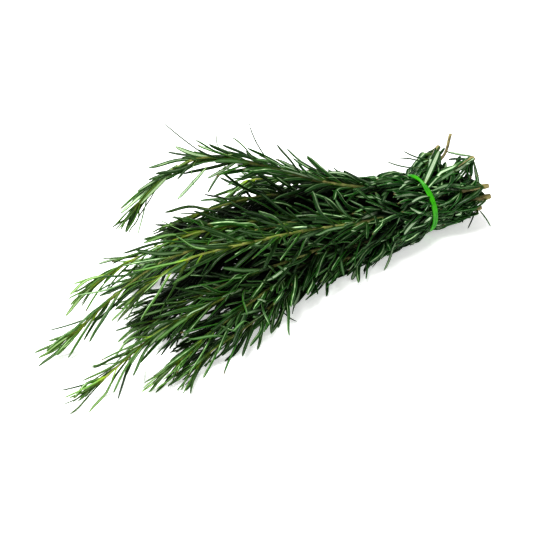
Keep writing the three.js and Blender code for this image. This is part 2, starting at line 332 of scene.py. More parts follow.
def innerShadeGroup():
    # painted shade: a colour is darkened by how deep its place lies among the leaves, where they keep the
    # light off
    takes = {"Color": "Color", "Depth": "Float", "Darkest": "Float"}
    desk, given, made = newGroup("innerShade", takes, {"Color": "Color"})
    deep = desk.ramp(given["Depth"], *groupLook["shadeEdges"])
    lost = desk.math("MULTIPLY", deep, desk.math("SUBTRACT", 1.0, given["Darkest"]))
    shade = desk.grey(desk.math("SUBTRACT", 1.0, lost))
    desk.tree.links.new(desk.blend(1.0, given["Color"], shade, "MULTIPLY"), made["Color"])
    return desk.tree


mottle, innerShade = mottleGroup(), innerShadeGroup()


def addMottle(desk, place, look):
    inputs = {"Place": place, "Patch Scale": look["patchScale"], "Grain Scale": look["grainScale"]}
    outputs = desk.add("ShaderNodeGroup", inputs, node_tree=mottle).outputs
    return outputs["Patches"], outputs["Grain"]


def addShade(desk, colour, depth, look):
    inputs = {"Color": colour, "Depth": depth, "Darkest": look["darkest"]}
    return desk.add("ShaderNodeGroup", inputs, node_tree=innerShade).outputs["Color"]


leafLook = {
    "oldTop": (0.0030, 0.0300, 0.0022, 1),
    "youngTop": (0.0340, 0.1000, 0.0100, 1),
    # the two pale sheen colours that follow are a painted highlight laid along the top of each leaf
    "oldPaintedSheen": (0.430, 0.620, 0.320, 1),
    "youngPaintedSheen": (0.370, 0.480, 0.270, 1),
    "oldFelt": (0.450, 0.570, 0.380, 1),  # the pale woolly middle of the underside
    "youngFelt": (0.360, 0.510, 0.230, 1),
    "oldMargin": (0.0150, 0.0850, 0.0090, 1),
    "youngMargin": (0.095, 0.205, 0.030, 1),
    "shoot": (0.220, 0.330, 0.014, 1),  # the yellow-green of a young leaf's foot
    "dryTip": (0.100, 0.070, 0.025, 1),
    "roughTop": 0.33,
    "roughUnder": 0.8,
    "specular": 0.22,
    "wrinkles": 95.0,  # along one leaf, in radians
    "bump": 0.3,
    "bumpDepth": 0.0002,
    "patchScale": 200.0,
    "grainScale": 2600.0,
    "darkest": 0.05,
}


def leafMaterial():
    material, desk, shader = newMaterial("rosemaryLeaf")
    along, across, under = desk.parts("leafShape")
    age, tint, dryAndSheen = desk.parts("leafKind")
    side = desk.math("ABSOLUTE", across)
    patches, grain = addMottle(desk, desk.objectSpace(), leafLook)

    # the top: a dark blade with one painted sheen streak (a painted highlight along the leaf), a thin groove
    # down the middle and a lighter margin
    blade = desk.blend(age, leafLook["oldTop"], leafLook["youngTop"])
    paintedSheen = desk.blend(age, leafLook["oldPaintedSheen"], leafLook["youngPaintedSheen"])
    margin = desk.blend(age, leafLook["oldMargin"], leafLook["youngMargin"])
    paintedSheenCentre = desk.math("MULTIPLY", desk.math("SUBTRACT", tint, 0.5), 0.9)
    paintedSheenMask = desk.ramp(desk.math("ABSOLUTE", desk.math("SUBTRACT", across, paintedSheenCentre)), 0.36, 0.04)
    # a random number per leaf sets how strong the painted highlight is, and also the leaf's brightness and
    # its rare dry tip
    paintedSheenMask = desk.math("MULTIPLY", paintedSheenMask, desk.ramp(dryAndSheen, 0.1, 1.0, 0.2, 1.0))
    paintedSheenMask = desk.math("MULTIPLY", paintedSheenMask, desk.ramp(patches, 0.0, 1.0, 0.35, 1.0))
    paintedSheenMask = desk.math("MULTIPLY", paintedSheenMask, desk.ramp(along, 0.02, 0.3))
    top = desk.blend(paintedSheenMask, blade, paintedSheen)
    top = desk.blend(desk.ramp(side, 0.09, 0.0, 0.0, 0.7), top, blade)
    top = desk.blend(desk.ramp(side, 0.78, 0.97, 0.0, 0.9), top, margin)

    # the underside: pale wool between two dark rolled margins, parted by the midrib
    felt = desk.blend(age, leafLook["oldFelt"], leafLook["youngFelt"])
    felt = desk.blend(desk.ramp(tint, 0.1, 0.9, 0.0, 0.8), felt, margin)
    felt = desk.blend(desk.ramp(grain, 0.0, 1.0, 0.0, 0.35), felt, margin)
    felt = desk.blend(desk.ramp(side, 0.12, 0.02, 0.0, 0.45), felt, margin)
    felt = desk.blend(desk.ramp(side, 0.32, 0.62), felt, desk.blend(0.35, blade, margin))

    colour = desk.blend(desk.ramp(under, 0.3, 0.7), top, felt)
    foot = desk.math("MULTIPLY", desk.ramp(along, 0.3, 0.02), desk.ramp(age, 0.15, 0.7, 0.15, 0.9))
    colour = desk.blend(foot, colour, leafLook["shoot"])
    ownShade = desk.grey(desk.ramp(dryAndSheen, 0.0, 1.0, 0.6, 1.5))
    colour = desk.blend(1.0, colour, ownShade, "MULTIPLY")
    driedTip = desk.math("MULTIPLY", desk.ramp(along, 0.9, 0.99), desk.ramp(dryAndSheen, 0.9, 0.96))
    colour = desk.blend(driedTip, colour, leafLook["dryTip"])
    # painted shade: the leaf colour darkens with its depth among the leaves of the bunch
    depth = desk.add("ShaderNodeAttribute", attribute_name="depth").outputs["Fac"]
    colour = addShade(desk, colour, depth, leafLook)
    desk.tree.links.new(colour, shader.inputs["Base Color"])

    roughness = desk.ramp(under, 0.3, 0.7, leafLook["roughTop"], leafLook["roughUnder"])
    roughness = desk.math("ADD", roughness, desk.ramp(patches, 0.0, 1.0, -0.05, 0.08))
    roughness = desk.math("ADD", roughness, desk.ramp(depth, 0.3, 0.7, 0.0, 0.4), clamp=True)
    desk.tree.links.new(roughness, shader.inputs["Roughness"])
    shader.inputs["Specular IOR Level"].default_value = leafLook["specular"]

    wrinkle = desk.math("SINE", desk.math("MULTIPLY", along, leafLook["wrinkles"]))
    height = desk.math("ADD", desk.math("MULTIPLY", grain, 0.4), desk.math("MULTIPLY", wrinkle, 0.12))
    bump = desk.bump(leafLook["bump"], leafLook["bumpDepth"], height)
    desk.tree.links.new(bump, shader.inputs["Normal"])
    return material


stemLook = {
    "bark": (0.075, 0.060, 0.020, 1),
    "barkPale": (0.290, 0.250, 0.090, 1),
    "green": (0.120, 0.180, 0.035, 1),
    "young": (0.210, 0.310, 0.022, 1),
    "cutFace": (0.520, 0.420, 0.220, 1),
    "pith": (0.300, 0.230, 0.110, 1),
    "roughness": 0.62,
    "bump": 0.5,
    "bumpDepth": 0.0003,
    "fibre": (120.0, 900.0, 900.0),  # the bark's grain, stretched along the bunch
    "patchScale": 90.0,
    "grainScale": 1400.0,
    "darkest": 0.12,
}


def stemMaterial():
    material, desk, shader = newMaterial("rosemaryStem")
    along, joint, cut = desk.parts("stemShape")
    young, _, radial = desk.parts("stemKind")
    place = desk.objectSpace()
    stretched = desk.add("ShaderNodeMapping", {0: place, 3: stemLook["fibre"]}).outputs[0]
    fibre = desk.ramp(desk.noise(1.0, 4.0, stretched), 0.3, 0.7)
    patches, grain = addMottle(desk, place, stemLook)

    bark = desk.blend(fibre, stemLook["bark"], stemLook["barkPale"])
    green = desk.blend(desk.ramp(patches, 0.0, 1.0, 0.0, 0.5), stemLook["green"], stemLook["barkPale"])
    green = desk.blend(desk.ramp(grain, 0.5, 1.0, 0.0, 0.3), green, stemLook["bark"])
    woody = desk.ramp(desk.math("ADD", along, desk.ramp(patches, 0.0, 1.0, -0.06, 0.06)), 0.16, 0.36)
    colour = desk.blend(woody, bark, green)
    colour = desk.blend(young, colour, stemLook["young"])
    colour = desk.blend(desk.math("MULTIPLY", joint, 0.55), colour, stemLook["barkPale"])
    # painted shade: the stem colour darkens with its depth among the leaves of the bunch
    depth = desk.add("ShaderNodeAttribute", attribute_name="depth").outputs["Fac"]
    colour = addShade(desk, colour, depth, stemLook)
    face = desk.blend(desk.ramp(radial, 0.35, 0.1), stemLook["cutFace"], stemLook["pith"])
    face = desk.blend(desk.ramp(grain, 0.0, 1.0, 0.0, 0.35), face, stemLook["bark"])
    colour = desk.blend(cut, colour, face)
    desk.tree.links.new(colour, shader.inputs["Base Color"])
    shader.inputs["Roughness"].default_value = stemLook["roughness"]
    height = desk.math("ADD", fibre, desk.math("MULTIPLY", grain, 0.3))
    bump = desk.bump(stemLook["bump"], stemLook["bumpDepth"], height)
    desk.tree.links.new(bump, shader.inputs["Normal"])
    return material


bandLook = {
    "colour": (0.040, 0.340, 0.001, 1),
    "shadeColour": (0.018, 0.210, 0.001, 1),
    "roughness": 0.36,
    "rougher": 0.12,  # where it is patchy
    "specular": 0.25,
    "bump": 0.15,
    "bumpDepth": 0.0001,
    "patchScale": 140.0,
    "grainScale": 3000.0,
}


def bandMaterial():
    material, desk, shader = newMaterial("bandRubber")
    patches, grain = addMottle(desk, desk.objectSpace(), bandLook)
    colour = desk.blend(patches, bandLook["colour"], bandLook["shadeColour"])
    desk.tree.links.new(colour, shader.inputs["Base Color"])
    shader.inputs["Specular IOR Level"].default_value = bandLook["specular"]
    roughest = bandLook["roughness"] + bandLook["rougher"]
    roughness = desk.ramp(patches, 0.0, 1.0, bandLook["roughness"], roughest)
    desk.tree.links.new(roughness, shader.inputs["Roughness"])
    bump = desk.bump(bandLook["bump"], bandLook["bumpDepth"], grain)
    desk.tree.links.new(bump, shader.inputs["Normal"])
    return material


leafGreen, stemBark, bandRubber = leafMaterial(), stemMaterial(), bandMaterial()
print("materials made")


class Stem:
    # a smooth route through its points, measured by length
    def __init__(self, tie, cut, route, thickness):
        self.thickness = thickness
        distance, clock = tie
        angle = math.radians(clock)
        rise = distance * math.sin(angle)
        leaning = bunch["bandShift"] - bunch["bandLean"] * rise
        inBand = (leaning, distance * math.cos(angle), bunch["bandHeight"] + rise)
        through = np.array(cut[::-1] + [inBand] + route, dtype=float)
        padded = np.vstack((2 * through[0] - through[1], through, 2 * through[-1] - through[-2]))
        path = []
        for p0, p1, p2, p3 in zip(padded, padded[1:], padded[2:], padded[3:]):
            for t in np.linspace(0, 1, 60, endpoint=False):
                path.append(0.5 * (2 * p1 + (p2 - p0) * t + (2 * p0 - 5 * p1 + 4 * p2 - p3) * t * t
                                   + (3 * p1 - p0 - 3 * p2 + p3) * t ** 3))
        path.append(through[-1])
        self.path = np.array(path)
        steps = np.linalg.norm(np.diff(self.path, axis=0), axis=1)
        self.marks = np.concatenate(([0], np.cumsum(steps)))
        self.length = self.marks[-1]

    def at(self, distance):
        return np.array([np.interp(distance, self.marks, self.path[:, i]) for i in range(3)])

    def direction(self, distance):
        reach = 1.5
        low, high = max(0.0, distance - reach), min(self.length, distance + reach)
        return unit(self.at(high) - self.at(low))

    def radius(self, distance):
        share = distance / self.length
        return mix(bunch["cutRadius"] * self.thickness, bunch["tipRadius"], share ** bunch["taper"])

    def axes(self, distance):
        along = self.direction(distance)
        level = unit(np.cross((0, 0, 1), along))
        return along, level, np.cross(along, level)


stemShape = {
    "ringStep": 1.6,
    "sides": 12,
    "jointSwell": 0.22,
    "jointReach": 1.6,
    "ridges": 0.05,
    # the cut face: distance from the cut, share of the radius, how much it shows the cut
    "cutRings": ((0.0, 0.02, 1.0), (0.0, 0.3, 1.0), (0.0, 0.86, 1.0), (0.12, 0.97, 0.4)),
    "tipScale": 0.4,
}


def buildStem(name, node, stem, joints, youth, thicket):
    sides = stemShape["sides"]
    count = int(stem.length / stemShape["ringStep"])
    points, shape, kind, faces = [], [], [], []
    angles = np.linspace(0, 2 * math.pi, sides, endpoint=False)

    def addRing(distance, scale, cut):
        along, level, up = stem.axes(distance)
        near = min(abs(distance - j) for j in joints)
        swell = math.exp(-(near / stemShape["jointReach"]) ** 2)
        share = distance / stem.length
        young = eased(share, 0.95 - 0.55 * youth, 1.0)
        young = max(young, youth * eased(share, 0.4, 0.75))
        radius = stem.radius(distance) * scale * (1 + stemShape["jointSwell"] * swell)
        for angle in angles:
            ridge = 1 + stemShape["ridges"] * math.cos(4 * angle)
            outward = level * math.cos(angle) + up * math.sin(angle)
            points.append(stem.at(distance) + outward * radius * ridge)
            shape.append((share, swell, cut))
            kind.append((young, 0.0, scale if cut else 1.0))

    for distance, scale, cut in stemShape["cutRings"]:
        addRing(distance, scale, cut)
    for i in range(1, count + 1):
        addRing(stem.length * i / count, 1.0, 0.0)
    addRing(stem.length, stemShape["tipScale"], 0.0)
    rings = len(points) // sides
    for r in range(rings - 1):
        for k in range(sides):
            n = (k + 1) % sides
            faces.append((r * sides + k, r * sides + n, (r + 1) * sides + n, (r + 1) * sides + k))
    faces.append(tuple(range(sides - 1, -1, -1)))
    faces.append(tuple((rings - 1) * sides + k for k in range(sides)))
    piece = makeMesh(name, points, faces, stemBark, node)
    addVectors(piece.data, "stemShape", shape)
    addVectors(piece.data, "stemKind", kind)
    addNumbers(piece.data, "depth", thicket.depthAt(points))


leafShape = {
    "rowsAt": (0.0, 0.05, 0.13, 0.24, 0.37, 0.5, 0.63, 0.76, 0.87, 0.94, 0.98, 1.0),
    "outline": (0.40, 0.50, 0.74, 0.92, 1.0, 1.0, 0.98, 0.93, 0.82, 0.62, 0.38, 0.12),
    "halfWidth": 1.3,
    "halfThickness": 0.76,
    "thinnest": 0.45,  # share of the thickness that stays where the outline narrows
    # cross section, from the left margin over the top to the right margin and back underneath
    "sectionAcross": (-1.0, -0.86, -0.45, 0.0, 0.45, 0.86, 1.0, 0.72, 0.34, 0.0, -0.34, -0.72),
    "sectionUp": (-0.15, 0.3, 0.78, 0.74, 0.78, 0.3, -0.15, -0.45, -0.05, -0.2, -0.05, -0.45),
}
rowsAt = np.array(leafShape["rowsAt"])
outline = np.array(leafShape["outline"])
sectionAcross = np.array(leafShape["sectionAcross"])
sectionUp = np.array(leafShape["sectionUp"])
rows, around = len(rowsAt), len(sectionAcross)
topSides = 6  # section points after this one belong to the underside

growth = {
    "firstNode": 3.0,
    "nodeStep": (6.3, 8.2),  # distance between leaf pairs on full and on sparse sprigs
    "tipStep": 9.0,
    "tipShare": 0.4,
    "tipWidth": 0.7,
    "longest": 28.0,
    "opening": 36.0,
    "pressed": 9.0,
    "droop": 0.1,
    "faceUp": 0.65,  # share of the leaves that turn their top to the sky
    "floorGap": 1.1,
    "floorSoftness": 0.8,
    "cutRise": 0.7,  # the cut end hangs clear of the surface, this much per millimetre beyond the band
    "cutClearance": 6.0,
    "leadAhead": 7.0,  # leaves follow the bend of the stem this far ahead
    "bareStick": 24.0,  # more bare stem on the sprig that was cut from a fork
    "bandLeaves": 22,
    "shoulderLeaves": 9,
    "cutLeaves": 16,
    "tuft": (2, 5),  # short leaves that may grow in a joint, on the sprigs that show and on those within
    "tipTufts": 0.8,
    "wisps": 6,
    "crown": 6,
    "tipOpening": 0.42,  # share of the opening that is left at the growing tip
    "tipLength": 0.78,
    "cutLength": 0.8,
    "tipClear": 4.0,  # from the last pair to the end of the stem
}
# leaves that stand out on their own: sprig, foot, tip, width, curl, freshness;
# they start at the foot given here, which for some lies a few millimetres off the stem
strays = [
    (1, (-137, 21, 84), (-157, 30, 107), 0.50, 12, 0.2),
    (1, (-99, 15, 71), (-106, 25, 94), 0.42, 34, 0.1),
    (1, (-109, 21, 77), (-116, 27, 87), 0.55, -20, 0.1),
    (1, (-126, 17, 83), (-141, 23, 92), 1.10, 10, 0.3),
    (1, (-122, 18, 82), (-143, 20, 86), 1.00, 14, 0.3),
    (1, (-118, 16, 79), (-141, 14, 76), 1.00, 16, 0.2),
    (1, (-140, 17, 80), (-159, 18, 66), 1.00, 10, 0.1),
    (1, (-129, 15, 78), (-138, 20, 62), 1.10, -10, 0.1),
    (1, (-172, 27, 69), (-183, 22, 48), 0.35, 8, 0.1),
    (1, (-154, 25, 82), (-178, 28, 73), 1.15, 12, 0.2),
    (1, (-164, 26, 77), (-189, 29, 62), 1.15, 10, 0.2),
    (1, (-138, 20, 85), (-154, 34, 87), 0.80, 22, 0.2),
    (2, (-60, 24, 48), (-76, 30, 66), 1.10, 20, 0.1),
    (2, (-56, 23, 46), (-70, 29, 58), 0.90, 16, 0.1),
    (1, (33, -7, 41), (35, -12, 20), 0.95, -14, 0.0),
    (1, (34, -4, 42), (25, 8, 43), 0.80, 16, 0.0),
    (1, (33, -5, 40), (23, 4, 40), 0.90, -20, 0.0),
    (2, (-4, -7, 36), (14, 3, 49), 1.60, 8, 0.0),
    (2, (8, 4, 44), (-4, 13, 50), 0.60, 36, 0.0),
    (2, (6, 3, 42), (-9, 11, 48), 0.55, -24, 0.0),
    (2, (2, 5, 40), (-12, 19, 43), 0.55, 38, 0.0),
    (10, (-2, -16, 26), (26, -18, 21), 1.50, 10, 0.0),
    (11, (11, -6, 38), (35, -3, 39), 0.50, 34, 0.3),
    (10, (-3, -12, 30), (-22, -19, 37), 1.35, -24, 0.0),
    (9, (-12, -17, 22), (-34, -28, 24), 1.30, -20, 0.0),
    (8, (31, -15, 12), (20, -21, 5), 0.35, 30, 0.0),
    (9, (31, -18, 12), (34, -26, 4), 0.45, -20, 0.0),
    (8, (-122, -24, 8), (-119, -43, 3), 0.35, 70, 0.1),
    (8, (-56, -18, 11), (-69, -25, 3), 1.20, 14, 0.0),
    (12, (-186, 15, 39), (-204, 29, 34), 1.00, -14, 0.2),
    (11, (-222, 4, 19), (-243, 16, 12), 0.55, 18, 0.2),
    (17, (-222, -36, 17), (-240, -52, 6), 0.50, 14, 0.2),
    (17, (-240, -40, 12), (-262, -31, 8), 0.55, 20, 0.2),
    (17, (-222, -36, 14), (-238, -20, 8), 0.45, 24, 0.2),
]
bandAxis = unit(np.array((1.0, 0.0, bunch["bandLean"])))
bandCentre = np.array((bunch["bandShift"], 0.0, bunch["bandHeight"]))

tying = {
    "inside": 16.4,  # leaves stay within this radius where they pass the band
    "grip": 2.2,  # half the length that the band presses on
    "shoulder": (1.4, 2.4, 0.2),  # how they swell out on the tip side: slope, step, slope after the step
    "freeFrom": 34.0,  # beyond this they soon spread as they like
    "freeing": 1.8,
    "beneath": (0.0, -0.45, -0.9),  # on this side the bunch swells less
    "flatness": 0.85,
    "flatUntil": 80.0,
    "flatFade": 22.0,
    "slack": 3.4,  # the loosest leaves stand this much prouder than the tightest
    "slackFrom": 7.0,
    "cutSlope": 0.45,
    "leastLift": 0.5,  # a leaf that the surface lifts by less keeps its course
    "onward": 0.2,  # how much a leaf lying on the surface keeps to its own direction
}


def settle(spine, slack):
    # leaves stay inside the band where they pass it, and rest on the surface where they reach it
    offset = spine - bandCentre
    depth = offset @ bandAxis
    radial = offset - np.outer(depth, bandAxis)
    distance = np.linalg.norm(radial, axis=1)
    tipSide = np.maximum(0.0, -tying["grip"] - depth)
    cutSide = np.maximum(0.0, depth - tying["grip"])
    steep, step, gentle = tying["shoulder"]
    swell = np.minimum(steep * tipSide, step + gentle * tipSide)
    swell = swell + tying["freeing"] * np.maximum(0.0, tipSide - tying["freeFrom"])
    beneath = np.clip(radial @ unit(np.array(tying["beneath"])) / np.maximum(distance, 1e-6), 0.0, 1.0)
    flat = tying["flatness"] * beneath
    swell *= 1 - flat * np.clip((tying["flatUntil"] - tipSide) / tying["flatFade"], 0.0, 1.0)
    allowed = tying["inside"] + tying["cutSlope"] * cutSide * (1 - flat) + swell
    allowed += slack * tying["slack"] * np.clip((tipSide + cutSide) / tying["slackFrom"], 0.0, 1.0)
    scale = np.minimum(1.0, allowed / np.maximum(distance, 1e-6))
    spine = bandCentre + np.outer(depth, bandAxis) + radial * scale[:, None]

    lowest = growth["floorGap"] + np.clip(growth["cutRise"] * spine[:, 0], 0.0, growth["cutClearance"])
    softness = growth["floorSoftness"]
    rested = lowest + np.logaddexp(0.0, (spine[:, 2] - lowest) / softness) * softness
    if np.max(rested - spine[:, 2]) < tying["leastLift"]:
        return spine
    steps = np.diff(spine, axis=0)
    length = np.linalg.norm(steps, axis=1)
    level = steps[:, :2] + tying["onward"] * (spine[-1, :2] - spine[0, :2]) / len(steps) + 1e-4
    level /= np.linalg.norm(level, axis=1)[:, None]
    sideways = np.sqrt(np.maximum(length ** 2 - np.diff(rested) ** 2, 0.0))
    spine[1:, :2] = spine[0, :2] + np.cumsum(level * sideways[:, None], axis=0)
    spine[:, 2] = rested
    return spine


class LeafPile:
    # collects the leaves of one sprig into one mesh
    def __init__(self):
        self.points, self.shape, self.kind, self.spines = [], [], [], []
        self.leaves = 0

    def add(self, base, along, out, leaf, rng):
        middle = (rowsAt[1:] + rowsAt[:-1]) / 2
        bend, wave = math.radians(leaf["bend"]), math.radians(leaf.get("wave", 0.0))
        angle = math.radians(leaf["opening"]) + bend * middle + wave * np.sin(2 * math.pi * middle)
        step = along * np.cos(angle)[:, None] + out * np.sin(angle)[:, None]
        step += np.cross(along, out) * (leaf.get("sway", 0.0) * middle)[:, None]
        step[:, 2] -= growth["droop"] * middle
        step *= (leaf["length"] * np.diff(rowsAt) / np.linalg.norm(step, axis=1))[:, None]
        spine = np.vstack((base, base + np.cumsum(step, axis=0)))
        if not leaf.get("loose", False):
            spine = settle(spine, rng.random())

        tangent = np.gradient(spine, axis=0)
        tangent /= np.linalg.norm(tangent, axis=1)[:, None]
        angle = (math.radians(leaf["opening"]) + bend * rowsAt)[:, None]
        normal = along * np.sin(angle) - out * np.cos(angle)
        if leaf.get("faceUp", rng.random() < growth["faceUp"]):
            normal = normal * 0.3 + np.array((0.0, 0.0, 1.0))
        normal -= tangent * np.sum(normal * tangent, axis=1)[:, None]
        normal /= np.maximum(np.linalg.norm(normal, axis=1), 1e-6)[:, None]
        across = np.cross(tangent, normal)
        turn = (math.radians(leaf["twist"]) * (0.5 + rowsAt))[:, None]
        across, normal = (across * np.cos(turn) + normal * np.sin(turn),
                          normal * np.cos(turn) - across * np.sin(turn))

        half = (leafShape["halfWidth"] * leaf["width"] * outline)[:, None, None]
        full = leafShape["thinnest"] + (1 - leafShape["thinnest"]) * outline
        thick = (leafShape["halfThickness"] * full * min(1.0, leaf["width"] * 1.1))[:, None, None]
        section = (sectionAcross[None, :, None] * half * across[:, None, :]
                   + sectionUp[None, :, None] * thick * normal[:, None, :])
        self.points.append((spine[:, None, :] + section).reshape(-1, 3))
        self.spines.append(spine)

        grid = np.empty((rows, around, 3))
        grid[:, :, 0] = rowsAt[:, None]
        grid[:, :, 1] = sectionAcross
        grid[:, :, 2] = np.arange(around) > topSides
        self.shape.append(grid.reshape(-1, 3))
        kind = (leaf["age"], leaf.get("tint", rng.random()), rng.random())
        self.kind.append(np.tile(kind, (rows * around, 1)))
        self.leaves += 1

    def leafFaces(self):
        faces = []
        for r in range(rows - 1):
            low, high = r * around, (r + 1) * around
            for k in range(around):
                n = (k + 1) % around
                faces.append((low + k, high + k, high + n, low + n))
        last = (rows - 1) * around
        faces.append(tuple(range(around)))
        faces.append(tuple(last + k for k in range(around - 1, -1, -1)))
        size = rows * around
        return [tuple(i + leaf * size for i in face) for leaf in range(self.leaves) for face in faces]

    def build(self, name, node, thicket):
        points = np.vstack(self.points)
        piece = makeMesh(name, points, self.leafFaces(), leafGreen, node)
        addVectors(piece.data, "leafShape", np.vstack(self.shape))
        addVectors(piece.data, "leafKind", np.vstack(self.kind))
        addNumbers(piece.data, "depth", thicket.depthAt(points))
        self.layOut(piece.data)

    def layOut(self, mesh):
        # every leaf gets its own cell of the flat map, so a baked finish keeps them apart
        columns = math.ceil(math.sqrt(self.leaves))
        u, v = [], []
        for leaf in range(self.leaves):
            left, low = (leaf % columns) / columns, (leaf // columns) / columns
            cell = 0.92 / columns
            for r in range(rows - 1):
                for k in range(around):
                    for dk, dr in ((0, 0), (0, 1), (1, 1), (1, 0)):
                        u.append(left + cell * (k + dk) / around)
                        v.append(low + cell * (r + dr) / (rows - 1) * 0.94)
            for end in (0.955, 0.985):
                for k in range(around):
                    angle = 2 * math.pi * k / around
                    u.append(left + cell * (0.5 + 0.01 * math.cos(angle)))
                    v.append(low + cell * (end + 0.01 * math.sin(angle)))
        layer = mesh.uv_layers.new(name="OFBake")
        layer.data.foreach_set("uv", np.column_stack((u, v)).astype(np.float32).ravel())


thicketLook = {
    "cell": 3.0,
    "clearing": 9.0,  # this many leaf points in the way dim the light to a third
    # axis, which way to look, how much light comes from there
    "ways": [(2, 1, 1.0), (2, -1, 0.75), (0, 1, 0.85), (0, -1, 0.85), (1, 1, 0.9), (1, -1, 0.9)],
}


class Thicket:
    # tells how deep among the leaves a place lies, from 0 in the open to 1 in the middle of the bunch
    def __init__(self, points):
        self.low = points.min(axis=0) - 2 * thicketLook["cell"]
        cells = ((points - self.low) / thicketLook["cell"]).astype(int)
        count = np.zeros(cells.max(axis=0) + 3)
        np.add.at(count, tuple(cells.T), 1.0)
        for axis in range(3):
            count = (np.roll(count, 1, axis) + 2 * count + np.roll(count, -1, axis)) / 4
        light = np.zeros_like(count)
        for axis, way, weight in thicketLook["ways"]:
            passed = np.cumsum(count, axis=axis)
            inTheWay = passed.max(axis=axis, keepdims=True) - passed if way > 0 else passed - count
            light = np.maximum(light, weight * np.exp(-inTheWay / thicketLook["clearing"]))
        self.depth = 1 - light

    def depthAt(self, points):
        cells = ((np.asarray(points) - self.low) / thicketLook["cell"]).astype(int)
        cells = np.clip(cells, 0, np.array(self.depth.shape) - 1)
        return self.depth[tuple(cells.T)]


def openingAt(x, share):
    beyondBand = eased(-x, -4, 40)
    beforeBand = eased(x, 2, 24)
    atTip = mix(1, growth["tipOpening"], eased(share, 0.55, 0.95))
    return mix(growth["pressed"], growth["opening"], max(beyondBand, beforeBand)) * atTip


def leafLength(share):
    young = mix(1, growth["tipLength"], eased(share, 0.88, 1))
    old = mix(growth["cutLength"], 1, eased(share, 0, 0.2))
    return growth["longest"] * young * old


def nodeMarks(stem, bare, fullness, rng):
    marks = []
    distance = growth["firstNode"] + bare
    wide = mix(growth["nodeStep"][1], growth["nodeStep"][0], fullness)
    while distance < stem.length - growth["tipClear"]:
        marks.append(distance)
        closeUp = eased(distance / stem.length, 1 - growth["tipShare"], 1)
        distance += mix(wide, growth["tipStep"], closeUp) * rng.uniform(0.88, 1.12)
    return marks


